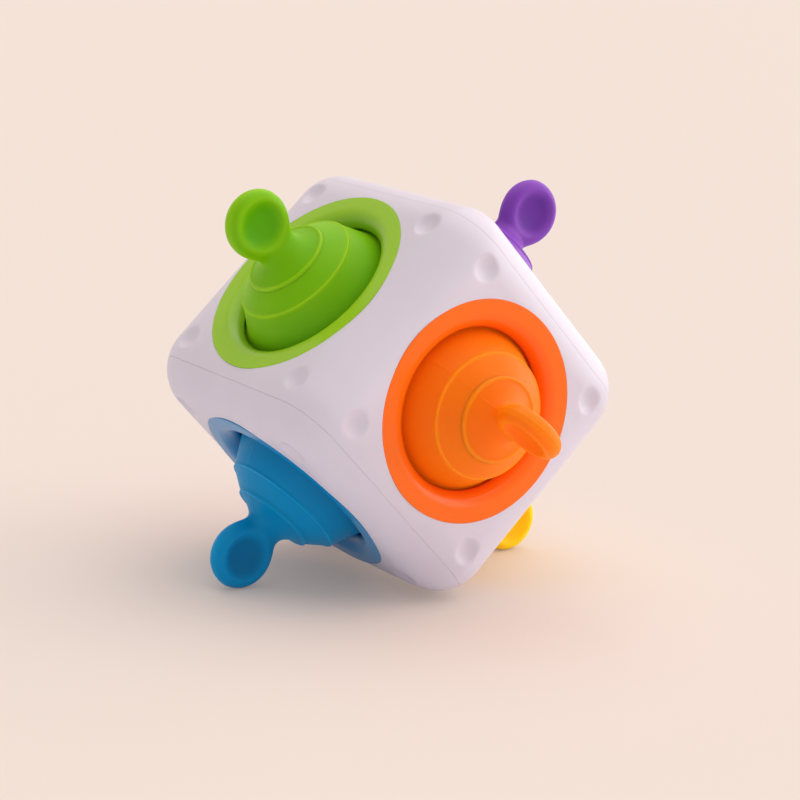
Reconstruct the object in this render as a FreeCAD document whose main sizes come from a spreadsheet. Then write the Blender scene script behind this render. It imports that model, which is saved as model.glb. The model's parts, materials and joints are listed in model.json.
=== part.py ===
"""Push-and-pull tug cube: a hollow rounded cube with a springy silicone tugger in each of its six faces.

The shell is ABS: a four-sided body, open to its left and right, and a shallow cap that closes each of these two
sides. Every face has the same module: a rigid bezel let in flush from outside, a silicone skirt that ends in a
tugger with a round tab, and a clamp ring inside that four screws pull up against the bezel's bosses.

Row frame, millimetres: +Z is up, the cube stands on one of its edges, and the origin is under its centre on the
plane that the lowest tabs touch. Every piece is drawn in its face's own frame, whose origin is the cube's centre,
whose Z axis leaves the cube through the face, and whose Y axis is the axis of the tab's disc.
"""
import FreeCAD, Part
import math
import os

import Sketcher
from FreeCAD import Placement, Rotation, Vector

# Driving dimensions in millimetres: alias, value, what it measures.
SIZES = [
    ("side", 100.0, "cube over its flat faces"),
    ("corner_round", 17.0, "radius of the cube's edges and corners"),
    ("wall", 3.0, "thickness of the shell"),
    ("cap_depth", 9.1, "depth of a side cap, from its face to the seam"),
    ("lip_wall", 1.4, "thickness of the lip inside a cap's rim"),
    ("lip_reach", 2.5, "length of the lip that enters the shell's body"),
    ("lip_play", 0.1, "clearance round the lip"),
    ("dimple_margin", 16.9, "from the cube's sides to a dimple's centre"),
    ("dimple_width", 9.7, "width of a finger dimple"),
    ("dimple_depth", 1.5, "depth of a finger dimple"),
    ("bezel_margin", 13.3, "from the cube's sides to the bezel's rim"),
    ("bezel_flange", 2.0, "thickness of the bezel's flange"),
    ("bezel_edge", 0.4, "rounding of the bezel's outer edge"),
    ("bezel_play", 0.1, "clearance all round the bezel and its bosses"),
    ("seat_width", 1.7, "width of the shell's seat under the bezel's rim"),
    ("boss_width", 5.2, "outer diameter of a screw boss"),
    ("boss_inset", 0.8, "how far a boss sinks into the bezel's sleeve"),
    ("sleeve_wall", 2.0, "thickness of the bezel's sleeve"),
    ("sleeve_depth", 8.5, "depth of the sleeve's foot, where the silicone is clamped"),
    ("throat_step", 1.6, "how far the sleeve's bore lies behind the throat's sharp lower edge"),
    ("throat_slope", 5.5, "from the throat's sharp edge out to the bezel's flat"),
    ("throat_depth", 4.6, "depth of the throat's sharp lower edge"),
    ("moat_width", 1.7, "gap between the throat's sharp edge and the skirt's root"),
    ("screw_width", 2.5, "diameter of a screw's shank"),
    ("screw_play", 0.05, "clearance round a screw's shank in its boss"),
    ("screw_bite", 5.6, "length of a screw inside its boss"),
    ("head_width", 4.6, "diameter of a screw's head"),
    ("head_height", 1.5, "height of a screw's head"),
    ("collar_wall", 2.0, "thickness of the shell's collar round an opening"),
    ("skin", 1.8, "thickness of the silicone"),
    ("skin_play", 0.4, "clearance round the silicone's flange"),
    ("belly", 34.0, "radius of the skirt's outward belly"),
    ("lower_ridge_width", 40.8, "diameter of the lower ridge"),
    ("lower_ridge_height", 5.7, "height of the lower ridge above the face"),
    ("upper_ridge_width", 28.7, "diameter of the upper ridge"),
    ("upper_ridge_height", 11.3, "height of the upper ridge above the face"),
    ("ridge_bead", 0.8, "size of the bead on a ridge"),
    ("crown_width", 19.0, "diameter of the tugger's crown, where its neck begins"),
    ("crown_height", 12.6, "height of the crown above the face"),
    ("waist_width", 13.4, "width of the neck where it is narrowest"),
    ("waist_thickness", 7.0, "thickness of the neck where it is narrowest"),
    ("waist_rise", 3.6, "height of the neck's narrowest place above the crown"),
    ("tab_width", 22.4, "diameter of the tab"),
    ("tab_thickness", 6.8, "thickness of the tab at its rim"),
    ("tab_rise", 14.7, "height of the tab's centre above the crown"),
    ("tab_land", 0.3, "flat between a dish and the tab's rounded rim"),
    ("dish_depth", 1.7, "depth of each dish"),
    ("clamp_reach", 2.5, "how far the clamp ring reaches in past the sleeve's bore"),
    ("clamp_gap", 1.1, "clearance between the clamp rings of neighbouring faces"),
    ("clamp_thickness", 2.0, "thickness of the clamp ring"),
    ("clamp_rim", 1.4, "height and width of the rim that stiffens the clamp ring"),
]

# Each face's outward normal and its tab's axis, in the frame of the cube before it is stood on its edge.
FACES = {
    "green": (Vector(0, 0, 1), Vector(0, 1, 0)),
    "purple": (Vector(1, 0, 0), Vector(0, 1, 0)),
    "yellow": (Vector(0, 0, -1), Vector(0, 1, 0)),
    "blue": (Vector(-1, 0, 0), Vector(0, 1, 0)),
    "orange": (Vector(0, -1, 0), Vector(1, 0, 0)),
    "red": (Vector(0, 1, 0), Vector(1, 0, 0)),
}
CAPPED = ("purple", "blue")
SCREWS = 4

# Levels of the stack behind a face, measured from the cube's centre.
FACE = "Cube.side / 2"
SEAT = FACE + " - Cube.bezel_flange"
FOOT = FACE + " - Cube.sleeve_depth"
CLAMP_TOP = FOOT + " - Cube.skin"
CLAMP_BACK = CLAMP_TOP + " - Cube.clamp_thickness"
SEAM = FACE + " - Cube.cap_depth"
JOIN = FACE + " + Cube.upper_ridge_height - Cube.ridge_bead"
CROWN = FACE + " + Cube.crown_height"
TAB = CROWN + " + Cube.tab_rise"

# Radii about a face's axis, worked inwards from the rim of the bezel.
RIM = FACE + " - Cube.bezel_margin"
OPENING = RIM + " - Cube.seat_width"
SCREW_CIRCLE = OPENING + " - Cube.bezel_play - Cube.boss_width / 2"
SLEEVE = SCREW_CIRCLE + " - Cube.boss_width / 2 + Cube.boss_inset"
BORE = SLEEVE + " - Cube.sleeve_wall"
THROAT = BORE + " - Cube.throat_step"
FLAT = THROAT + " + Cube.throat_slope"
LIP_ROUND = "(Cube.throat_slope ^ 2 + Cube.throat_depth ^ 2) / 2 / Cube.throat_depth"
ROOT = THROAT + " - Cube.moat_width"
SCREW_PLACE = "(%s) / sqrt(2)" % SCREW_CIRCLE

doc = FreeCAD.newDocument("TugCube")
sheet = doc.addObject("Spreadsheet::Sheet", "Cube")
for row, (alias, size, meaning) in enumerate(SIZES, 1):
    sheet.set("A%d" % row, alias)
    sheet.set("B%d" % row, str(size))
    sheet.set("C%d" % row, meaning)
    sheet.setAlias("B%d" % row, alias)
doc.recompute()


def measure(formula):
    """The number that a formula of the sheet's sizes gives now."""
    return float(sheet.evalExpression(formula))


def plane_sketch(body, name, role, across="0", up="0", out="0"):
    """An empty sketch on one of the body's origin planes, shifted within the plane and out of it."""
    sketch = body.newObject("Sketcher::SketchObject", name)
    plane = [f for f in body.Origin.OriginFeatures if f.Role == role][0]
    sketch.AttachmentSupport = [(plane, "")]
    sketch.MapMode = "FlatFace"
    for axis, formula in zip("xyz", (across, up, out)):
        sketch.setExpression("AttachmentOffset.Base." + axis, formula)
    return sketch


def tie(sketch, kind, geometry, formula):
    """One dimension of a sketch, bound to a formula of the sheet's sizes."""
    index = sketch.addConstraint(Sketcher.Constraint(kind, *geometry, measure(formula)))
    name = "size%d" % index
    sketch.renameConstraint(index, name)
    sketch.setExpression("Constraints." + name, formula)


def arc_edge(start, end, radius):
    """The short arc from start to end: it bulges to the left for a positive radius, to the right for a negative."""
    chord = end - start
    left = Vector(-chord.y, chord.x, 0).normalize()
    reach = math.sqrt(max(radius ** 2 - (chord.Length / 2) ** 2, 0.0))
    centre = (start + end) / 2 - left * math.copysign(reach, radius)
    angles = [math.atan2(p.y - centre.y, p.x - centre.x) for p in (start, end)]
    circle = Part.Circle(centre, Vector(0, 0, 1), abs(radius))
    if radius > 0:
        return Part.ArcOfCircle(circle, angles[1], angles[0]), (2, 1)
    return Part.ArcOfCircle(circle, angles[0], angles[1]), (1, 2)


def outline(sketch, corners):
    """A closed outline. Each corner is (across, up) or (across, up, radius of the arc that leaves it)."""
    points = [Vector(measure(c[0]), measure(c[1]), 0) for c in corners]
    edges = []
    for corner, start, end in zip(corners, points, points[1:] + points[:1]):
        if len(corner) == 3:
            shape, ends = arc_edge(start, end, measure(corner[2]))
        else:
            shape, ends = Part.LineSegment(start, end), (1, 2)
        edges.append((sketch.addGeometry(shape), ends))
    for (edge, ends), (before, before_ends) in zip(edges, edges[-1:] + edges[:-1]):
        sketch.addConstraint(Sketcher.Constraint("Coincident", before, before_ends[1], edge, ends[0]))
    for corner, (edge, ends) in zip(corners, edges):
        for kind, axis, formula in (("DistanceX", -2, corner[0]), ("DistanceY", -1, corner[1])):
            if formula == "0":
                sketch.addConstraint(Sketcher.Constraint("PointOnObject", edge, ends[0], axis))
            else:
                tie(sketch, kind, (-1, 1, edge, ends[0]), formula)
        if len(corner) == 3:
            tie(sketch, "Radius", (edge,), "abs(%s)" % corner[2])


def ring_of(sketch, across, up, *radii):
    """Concentric circles about one point of a sketch."""
    centre = Vector(measure(across), measure(up), 0)
    for radius in radii:
        circle = sketch.addGeometry(Part.Circle(centre, Vector(0, 0, 1), measure(radius)))
        tie(sketch, "Radius", (circle,), radius)
        tie(sketch, "DistanceX", (-1, 1, circle, 3), across)
        tie(sketch, "DistanceY", (-1, 1, circle, 3), up)


def revolve(body, sketch, axis="V_Axis"):
    """A full turn of a sketch about one of its own axes."""
    turn = body.newObject("PartDesign::Revolution", sketch.Name + "Turn")
    turn.Profile = sketch
    turn.ReferenceAxis = (sketch, [axis])
    turn.Angle = 360
    return turn


def extrude(body, sketch, length, kind="Pad", back=False):
    """A pad, or a pocket when kind says so, of a sketch over a bound length."""
    feature = body.newObject("PartDesign::" + kind, sketch.Name + kind)
    feature.Profile = sketch
    feature.Reversed = back
    feature.setExpression("Length", length)
    return feature


def repeat_round(body, features, count):
    """Copies of features evenly round the body's Z axis."""
    pattern = body.newObject("PartDesign::PolarPattern", features[0].Name + "Round")
    pattern.Originals = features
    pattern.Axis = ([f for f in body.Origin.OriginFeatures if f.Role == "Z_Axis"][0], [""])
    pattern.Angle = 360
    pattern.Occurrences = count
    body.Tip = pattern
    return pattern


def drill_screw_holes(body, level, radius):
    """Through holes for the screws, cut upward from a level."""
    doc.recompute()
    solid_before = body.Shape.Volume
    sketch = plane_sketch(body, body.Name + "Holes", "XY_Plane", out=level)
    ring_of(sketch, SCREW_PLACE, SCREW_PLACE, radius)
    pocket = extrude(body, sketch, "2 * Cube.skin + 2 * Cube.clamp_thickness", "Pocket", back=True)
    repeat_round(body, [pocket], SCREWS)
    doc.recompute()
    if body.Shape.Volume >= solid_before:
        raise RuntimeError(body.Label + ": the screw holes cut nothing")


def new_body(label):
    """An empty body under the name of its sub-part."""
    body = doc.addObject("PartDesign::Body", label)
    body.Label = label
    return body


def half(alias):
    """Half of a size, as a formula."""
    return "Cube.%s / 2" % alias


def bezel(label):
    """The rigid coloured ring: flush flange, a lip that turns down from it in one arc, sleeve, and screw bosses."""
    body = new_body(label)
    throat_level = FACE + " - Cube.throat_depth"
    sketch = plane_sketch(body, label + "Section", "XZ_Plane")
    outline(sketch, [
        (RIM, SEAT),
        (RIM, FACE + " - Cube.bezel_edge", "-Cube.bezel_edge"),
        (RIM + " - Cube.bezel_edge", FACE),
        (FLAT, FACE, "-(%s)" % LIP_ROUND),
        (THROAT, throat_level),
        (BORE, throat_level),
        (BORE, FOOT),
        (SLEEVE, FOOT),
        (SLEEVE, SEAT),
    ])
    revolve(body, sketch)
    bosses = plane_sketch(body, label + "Boss", "XY_Plane", out=FOOT)
    ring_of(bosses, SCREW_PLACE, SCREW_PLACE, half("boss_width"), "Cube.screw_width / 2 + Cube.screw_play")
    boss = extrude(body, bosses, "Cube.sleeve_depth - Cube.bezel_flange")
    repeat_round(body, [boss], SCREWS)
    return body


def skirt(label):
    """The thin silicone cone from its clamped flange up to the tugger, with a fine bead on the lower ridge."""
    body = new_body(label)
    flange = OPENING + " - Cube.skin_play"
    ridge = half("lower_ridge_width")
    top = half("upper_ridge_width")
    ridge_level = FACE + " + Cube.lower_ridge_height"
    sketch = plane_sketch(body, label + "Section", "XZ_Plane")
    outline(sketch, [
        (flange, CLAMP_TOP),
        (flange, FOOT),
        (ROOT, FOOT, "-Cube.belly"),
        (ridge, ridge_level + " - Cube.ridge_bead", "-Cube.ridge_bead"),
        (ridge + " - Cube.ridge_bead", ridge_level),
        (top, JOIN),
        (top + " - Cube.skin", JOIN),
        (ridge + " - 1.5 * Cube.skin", ridge_level + " - Cube.skin / 2", "Cube.belly"),
        (ROOT + " - Cube.skin", CLAMP_TOP),
    ])
    revolve(body, sketch)
    drill_screw_holes(body, CLAMP_TOP, "Cube.screw_width / 2 + Cube.skin_play")
    return body


def neck_section(name, level, width, thickness):
    """One elliptic cross-section of the neck."""
    section = doc.addObject("Part::Ellipse", name)
    section.setExpression("MajorRadius", width)
    section.setExpression("MinorRadius", thickness)
    section.setExpression("Placement.Base.z", level)
    return section


def tugger(label):
    """The silicone tugger: hollow crown with the upper ridge, a neck pinched to a waist, and a dished round tab."""
    crown = new_body(label + "_crown")
    top = half("upper_ridge_width")
    ridge_level = FACE + " + Cube.upper_ridge_height"
    sketch = plane_sketch(crown, label + "Crown", "XZ_Plane")
    outline(sketch, [
        (top + " - Cube.skin", JOIN),
        (top, JOIN, "-Cube.ridge_bead"),
        (top + " - Cube.ridge_bead", ridge_level),
        (half("crown_width"), CROWN),
        ("0", CROWN),
        ("0", CROWN + " - Cube.skin"),
        (half("crown_width") + " - Cube.skin", CROWN + " - Cube.skin"),
    ])
    revolve(crown, sketch)

    tab = new_body(label + "_tab")
    thick = half("tab_thickness")
    web = thick + " - Cube.dish_depth"
    rim = half("tab_width")
    shoulder = rim + " - " + thick
    dish = shoulder + " - Cube.tab_land"
    bowl = "((%s) ^ 2 + Cube.dish_depth ^ 2) / 2 / Cube.dish_depth" % dish
    sketch = plane_sketch(tab, label + "Tab", "YZ_Plane", up=TAB)
    outline(sketch, [
        ("-(%s)" % web, "0", "-(%s)" % bowl),
        ("-" + thick, dish),
        ("-" + thick, shoulder, thick),
        ("0", rim, thick),
        (thick, shoulder),
        (thick, dish, "-(%s)" % bowl),
        (web, "0"),
    ])
    revolve(tab, sketch, "H_Axis")

    waist_level = CROWN + " + Cube.waist_rise"
    root_level = TAB + " - 0.6 * " + rim
    neck = doc.addObject("Part::Loft", label + "_neck")
    neck.Sections = [
        neck_section(label + "Foot", CROWN, half("crown_width"), half("crown_width")),
        neck_section(
            label + "Flare",
            "0.6 * (%s) + 0.4 * (%s)" % (CROWN, waist_level),
            "0.3 * %s + 0.7 * %s" % (half("crown_width"), half("waist_width")),
            "0.4 * %s + 0.6 * %s" % (half("crown_width"), half("waist_thickness")),
        ),
        neck_section(label + "Waist", waist_level, half("waist_width"), half("waist_thickness")),
        neck_section(label + "Root", root_level, "0.8 * " + rim, thick),
    ]
    neck.Solid = True
    neck.Ruled = False

    whole = doc.addObject("Part::MultiFuse", label)
    whole.Label = label
    whole.Shapes = [crown, neck, tab]
    whole.Refine = True
    return whole


def clamp_ring(label):
    """The ring inside that squeezes the silicone's flange against the bezel, stiffened by a rim at its bore."""
    body = new_body(label)
    bore = BORE + " - Cube.clamp_reach"
    edge = CLAMP_BACK + " - Cube.clamp_gap"
    rim_level = CLAMP_BACK + " - Cube.clamp_rim"
    sketch = plane_sketch(body, label + "Section", "XZ_Plane")
    outline(sketch, [
        (bore, rim_level),
        (bore + " + Cube.clamp_rim", rim_level),
        (bore + " + Cube.clamp_rim", CLAMP_BACK),
        (edge, CLAMP_BACK),
        (edge, CLAMP_TOP),
        (bore, CLAMP_TOP),
    ])
    revolve(body, sketch)
    drill_screw_holes(body, CLAMP_BACK, "Cube.screw_width / 2 + Cube.screw_play")
    return body


def screws(label):
    """The four screws of one face, drawn without their thread."""
    body = new_body(label)
    shank = plane_sketch(body, label + "Shank", "XY_Plane", out=CLAMP_BACK)
    ring_of(shank, SCREW_PLACE, SCREW_PLACE, half("screw_width"))
    stem = extrude(body, shank, "Cube.clamp_thickness + Cube.skin + Cube.screw_bite")
    cap = plane_sketch(body, label + "Cap", "XY_Plane", out=CLAMP_BACK)
    ring_of(cap, SCREW_PLACE, SCREW_PLACE, half("head_width"))
    head = extrude(body, cap, "Cube.head_height", back=True)
    repeat_round(body, [stem, head], SCREWS)
    return body


def square_block(label, level, half_side, height):
    """A square block about the Z axis, from a level upward."""
    body = new_body(label)
    sketch = plane_sketch(body, label + "Square", "XY_Plane", out=level)
    outline(sketch, [
        ("-(%s)" % half_side, "-(%s)" % half_side),
        (half_side, "-(%s)" % half_side),
        (half_side, half_side),
        ("-(%s)" % half_side, half_side),
    ])
    return body, extrude(body, sketch, height)


def rounded_block(label, size, radius):
    """A cube about the centre with all its edges and corners rounded."""
    body, block = square_block(label, "-(%s) / 2" % size, "(%s) / 2" % size, size)
    doc.recompute()
    rounding = body.newObject("PartDesign::Fillet", label + "Round")
    rounding.Base = (block, ["Edge%d" % (i + 1) for i in range(len(block.Shape.Edges))])
    rounding.setExpression("Radius", radius)
    body.Tip = rounding
    return body


def collar(label):
    """The tube inside the shell that carries the clamp ring round one opening."""
    body = new_body(label)
    sketch = plane_sketch(body, label + "Section", "XZ_Plane")
    outline(sketch, [
        (OPENING, CLAMP_TOP),
        (OPENING + " + Cube.collar_wall", CLAMP_TOP),
        (OPENING + " + Cube.collar_wall", FACE + " - Cube.wall / 2"),
        (OPENING, FACE + " - Cube.wall / 2"),
    ])
    revolve(body, sketch)
    return body


def face_cutter(label):
    """What one face takes out of the shell: the stepped seat of the bezel and four finger dimples."""
    body = new_body(label)
    recess = RIM + " + Cube.bezel_play"
    dimple_place = FACE + " - Cube.dimple_margin"
    sketch = plane_sketch(body, label + "Section", "XZ_Plane")
    outline(sketch, [
        ("0", CLAMP_TOP + " - Cube.wall"),
        (OPENING, CLAMP_TOP + " - Cube.wall"),
        (OPENING, SEAT),
        (recess, SEAT),
        (recess, FACE + " + Cube.wall"),
        ("0", FACE + " + Cube.wall"),
    ])
    revolve(body, sketch)
    bowl = "((%s) ^ 2 + Cube.dimple_depth ^ 2) / 2 / Cube.dimple_depth" % half("dimple_width")
    ball = body.newObject("PartDesign::AdditiveSphere", label + "Ball")
    ball.setExpression("Radius", bowl)
    ball.setExpression("Placement.Base.x", dimple_place)
    ball.setExpression("Placement.Base.y", dimple_place)
    ball.setExpression("Placement.Base.z", FACE + " - Cube.dimple_depth + " + bowl)
    repeat_round(body, [ball], SCREWS)
    return body


def cap_space(label):
    """All of the cube that lies above the seam of a side cap."""
    body, _ = square_block(label, SEAM, FACE + " + Cube.wall", "Cube.cap_depth + Cube.wall")
    return body


def cap_lip(label):
    """The upright lip inside a cap's rim, which centres the cap in the shell's body."""
    inner_round = "Cube.corner_round - Cube.wall"
    section_round = "sqrt((%s) ^ 2 - (Cube.corner_round - Cube.cap_depth) ^ 2)" % inner_round
    outside = FACE + " - Cube.corner_round + %s - Cube.lip_play" % section_round
    height = "Cube.lip_reach + Cube.wall / 2"
    level = SEAM + " - Cube.lip_reach"
    blocks = []
    for name, inset in (("Outer", "0"), ("Inner", "Cube.lip_wall")):
        body, block = square_block(label + name, level, "%s - %s" % (outside, inset), height)
        doc.recompute()
        upright = [
            "Edge%d" % number
            for number, edge in enumerate(block.Shape.Edges, 1)
            if abs(edge.tangentAt(edge.FirstParameter).z) > 0.5
        ]
        rounding = body.newObject("PartDesign::Fillet", label + name + "Round")
        rounding.Base = (block, upright)
        rounding.setExpression("Radius", "%s - Cube.lip_play - %s" % (section_round, inset))
        body.Tip = rounding
        blocks.append(body)
    return join("Cut", label, *blocks)


def join(kind, label, first, second):
    """A boolean of two objects."""
    result = doc.addObject("Part::" + kind, label)
    result.Label = label
    result.Base = first
    result.Tool = second
    return result


def gather(label, pieces):
    """Several objects fused into one."""
    result = doc.addObject("Part::MultiFuse", label)
    result.Shapes = pieces
    result.Refine = True
    return result


def face_turn(normal, tab_axis):
    """The rotation that carries a face's own frame into the cube's."""
    return Rotation(tab_axis.cross(normal), tab_axis, normal, "ZYX")


def shell_tools(make, colours):
    """One tool for each of some faces, in the cube's frame."""
    tools = []
    for colour in colours:
        tool = make("%s_%s" % (colour, make.__name__))
        tool.Placement = Placement(Vector(0, 0, 0), face_turn(*FACES[colour]))
        tools.append(tool)
    return tools


def shell_piece(label, skin, colours, extras=()):
    """One moulding of the shell: its share of the skin, with the collars and seats of the faces it holds."""
    blank = gather(label + "_blank", [skin] + shell_tools(collar, colours) + list(extras))
    cutters = gather(label + "_cutters", shell_tools(face_cutter, FACES))
    return join("Cut", label, blank, cutters)


def shell_pieces():
    """The shell's body and its two side caps, shared out from one hollow cube."""
    block = rounded_block("block", "Cube.side", "Cube.corner_round")
    cavity = rounded_block("cavity", "Cube.side - 2 * Cube.wall", "Cube.corner_round - Cube.wall")
    hollow = join("Cut", "hollow", block, cavity)
    spaces = shell_tools(cap_space, CAPPED)
    sleeve = join("Cut", "sleeve", hollow, gather("cap_spaces", spaces))
    pieces = [shell_piece("shell_body", sleeve, [c for c in FACES if c not in CAPPED])]
    for colour, space in zip(CAPPED, spaces):
        tray = join("Common", colour + "_tray", hollow, space)
        pieces.append(shell_piece(colour + "_side_cap", tray, [colour], shell_tools(cap_lip, [colour])))
    return pieces


def build():
    """All sub-parts, placed in the row frame."""
    lowest_tab = measure("(%s) / sqrt(2) + %s" % (TAB, half("tab_width")))
    centre = Vector(0, 0, lowest_tab)
    on_edge = Rotation(Vector(0, 1, 0), -45)
    parts = shell_pieces()
    for shell_piece in parts:
        shell_piece.Placement = Placement(centre, on_edge)
    for colour, (normal, tab_axis) in FACES.items():
        placed = Placement(centre, on_edge.multiply(face_turn(normal, tab_axis)))
        for make in (bezel, skirt, tugger, clamp_ring, screws):
            piece = make(colour + "_" + make.__name__)
            piece.Placement = placed
            parts.append(piece)
    return parts


def check(parts):
    """Stops if any object failed or any sub-part is empty or invalid."""
    for item in doc.Objects:
        if "Invalid" in item.State or "Error" in item.State:
            raise RuntimeError("%s failed: %s" % (item.Label, item.State))
    for part in parts:
        if part.Shape.isNull() or not part.Shape.isValid():
            raise RuntimeError(part.Label + " has no valid shape")


sub_parts = build()
doc.recompute()
check(sub_parts)
os.makedirs("parts", exist_ok=True)
for sub_part in sub_parts:
    sub_part.Shape.exportStep("parts/%s.step" % sub_part.Label)
    box = sub_part.Shape.BoundBox
    solids = len(sub_part.Shape.Solids)
    print("%-20s %d solid(s) %9.1f mm3 z %.1f..%.1f" % (sub_part.Label, solids, sub_part.Shape.Volume, box.ZMin, box.ZMax))
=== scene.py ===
"""A push-and-pull tug cube: a white ABS shell, six coloured bezels, and six silicone tuggers with round
tabs."""
import json
import math

import bmesh
import bpy
import numpy as np
from mathutils import Matrix, Vector


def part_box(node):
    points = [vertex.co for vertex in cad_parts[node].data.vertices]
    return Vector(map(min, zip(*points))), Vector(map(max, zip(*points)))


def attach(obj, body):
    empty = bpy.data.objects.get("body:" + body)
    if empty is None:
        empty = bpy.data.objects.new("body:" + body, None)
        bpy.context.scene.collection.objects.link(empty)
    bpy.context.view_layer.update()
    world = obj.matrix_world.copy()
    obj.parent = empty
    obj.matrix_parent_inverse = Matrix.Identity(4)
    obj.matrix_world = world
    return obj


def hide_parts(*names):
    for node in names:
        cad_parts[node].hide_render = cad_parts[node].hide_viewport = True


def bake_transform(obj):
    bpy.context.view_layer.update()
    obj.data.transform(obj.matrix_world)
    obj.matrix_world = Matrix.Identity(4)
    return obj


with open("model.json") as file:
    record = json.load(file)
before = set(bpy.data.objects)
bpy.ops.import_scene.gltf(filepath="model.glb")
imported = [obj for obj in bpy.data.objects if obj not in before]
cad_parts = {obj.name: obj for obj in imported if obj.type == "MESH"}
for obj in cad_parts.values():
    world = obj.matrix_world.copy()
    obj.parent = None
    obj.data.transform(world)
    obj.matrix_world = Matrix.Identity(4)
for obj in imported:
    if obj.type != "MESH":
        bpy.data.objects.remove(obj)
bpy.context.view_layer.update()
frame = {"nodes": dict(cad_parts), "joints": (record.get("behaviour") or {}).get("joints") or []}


# ------------------------------------------------------------------------------------------------------------
# The shell: ABS with a fine satin grain, moulded as a four-sided body and two shallow side caps. The caps are
# pressed on over an inner lip and welded, and a hairline seam runs round each of them over the rounded edges.
MM = 0.001
HALF_SIDE = 50 * MM
EDGE_ROUND = 17 * MM
CORE = HALF_SIDE - EDGE_ROUND
WALL = 3 * MM
CAP_DEPTH = 9.1 * MM
SEAM_ROUND = 0.1 * MM
SEAM_GAP = 0.03 * MM
SEAT_RADIUS = 36.73 * MM
SEAT_ROUND = 0.08 * MM
DIMPLE_PLACE = 33.1 * MM
DIMPLE_RADIUS = 4.85 * MM
DIMPLE_DEPTH = 2.0 * MM
DIMPLE_SOFTNESS = 0.28 * MM
DIMPLE_FADE = (1.1, 1.5)
SHELL_WHITE = (213, 201, 210)
SHELL_SHADE = (210, 198, 207)

# How finely the shell's surfaces are divided. A stretch is two shares of the way from the bezel's seat to the
# edge of the face, and the number of rows between them: the dimples lie in the middle one.
QUARTER_COLUMNS = 56
CROWDING = 0.7
CROWDING_POWER = 2.6
ROUND_ROWS = 6
INSIDE_ROWS = 6
INSIDE_END = 0.1
FACE_STRETCHES = ((0, 0.17, 7), (0.17, 0.63, 34), (0.63, 1, 12))
HALVINGS = 40
MERGED_WITHIN = 0.002 * MM

shell_low, shell_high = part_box("shell_body")
CENTRE = (shell_low + shell_high) / 2
NORMALS = {joint["name"].split("_")[0]: Vector(joint["axis"]).normalized() for joint in frame["joints"]}
ALONG_Y = Vector((0, 1, 0))


def linear(red, green, blue):
    """A colour given in display values of 0 to 255, as the linear colour that a shader takes."""
    shares = [value / 255 for value in (red, green, blue)]
    return tuple(v / 12.92 if v <= 0.04045 else ((v + 0.055) / 1.055) ** 2.4 for v in shares) + (1,)


def smooth_step(low, high, value):
    """0 at low and 1 at high, held beyond them, and 3 t^2 - 2 t^3 between them."""
    t = np.clip((value - low) / (high - low), 0, 1)
    return t * t * (3 - 2 * t)


def face_turn(normal, along):
    """The 4x4 that carries a face's own frame into the row frame: Z goes to the face's normal, Y to along."""
    return Matrix.Translation(CENTRE) @ Matrix((along.cross(normal), along, normal)).transposed().to_4x4()


def placed(points, turn):
    """Points of a face's own frame, carried into the row frame."""
    turn = np.array(turn)
    return points @ turn[:3, :3].T + turn[:3, 3]


def grid_faces(rows, columns, closed):
    """Quads over a grid of rows and columns; closed joins the last column to the first."""
    across = np.arange(columns if closed else columns - 1)
    row, column = np.meshgrid(np.arange(rows - 1), across, indexing="ij")
    here, above, beside = row * columns, (row + 1) * columns, (column + 1) % columns
    return np.stack([here + column, here + beside, above + beside, above + column], axis=-1).reshape(-1, 4)


def make_piece(name, grids):
    """One object from grids of points, each (rows x columns x 3, closed or not). Shared edges and poles are
    merged, and the faces turned outwards."""
    points, faces, first = [], [], 0
    for grid, closed in grids:
        rows, columns, _ = grid.shape
        points.append(grid.reshape(-1, 3))
        faces.append(grid_faces(rows, columns, closed) + first)
        first += rows * columns
    mesh = bpy.data.meshes.new(name)
    mesh.from_pydata(np.concatenate(points).tolist(), [], np.concatenate(faces).tolist())
    merged = bmesh.new()
    merged.from_mesh(mesh)
    bmesh.ops.remove_doubles(merged, verts=merged.verts, dist=MERGED_WITHIN)
    bmesh.ops.recalc_face_normals(merged, faces=merged.faces)
    merged.to_mesh(mesh)
    merged.free()
    mesh.shade_smooth()
    piece = bpy.data.objects.new(name, mesh)
    bpy.context.scene.collection.objects.link(piece)
    return piece


def unrolled(x):
    """Arc length along the unrolled shell at a plan distance x from the face's middle."""
    beyond = np.clip((np.abs(x) - CORE) / EDGE_ROUND, 0, 1)
    return np.sign(x) * (np.minimum(np.abs(x), CORE) + EDGE_ROUND * np.arcsin(beyond))


def body_surface(p, q, depth):
    """The body's skin: flat as far as CORE, then turned round the edges by the angle (|q| - CORE) / radius
    and towards a cap by (|p| - CORE) / radius; depth is taken off along the surface's normal."""
    to_cap = np.clip(np.abs(p) - CORE, 0, None) / EDGE_ROUND * np.sign(p)
    to_face = np.clip(np.abs(q) - CORE, 0, None) / EDGE_ROUND * np.sign(q)
    level = np.cos(to_cap)
    normal = np.stack([np.sin(to_cap), level * np.sin(to_face), level * np.cos(to_face)], axis=-1)
    middle = np.stack([np.clip(p, -CORE, CORE), np.clip(q, -CORE, CORE), CORE + 0 * p], axis=-1)
    return middle + normal * (EDGE_ROUND - depth + 0 * p)[..., None]


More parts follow.
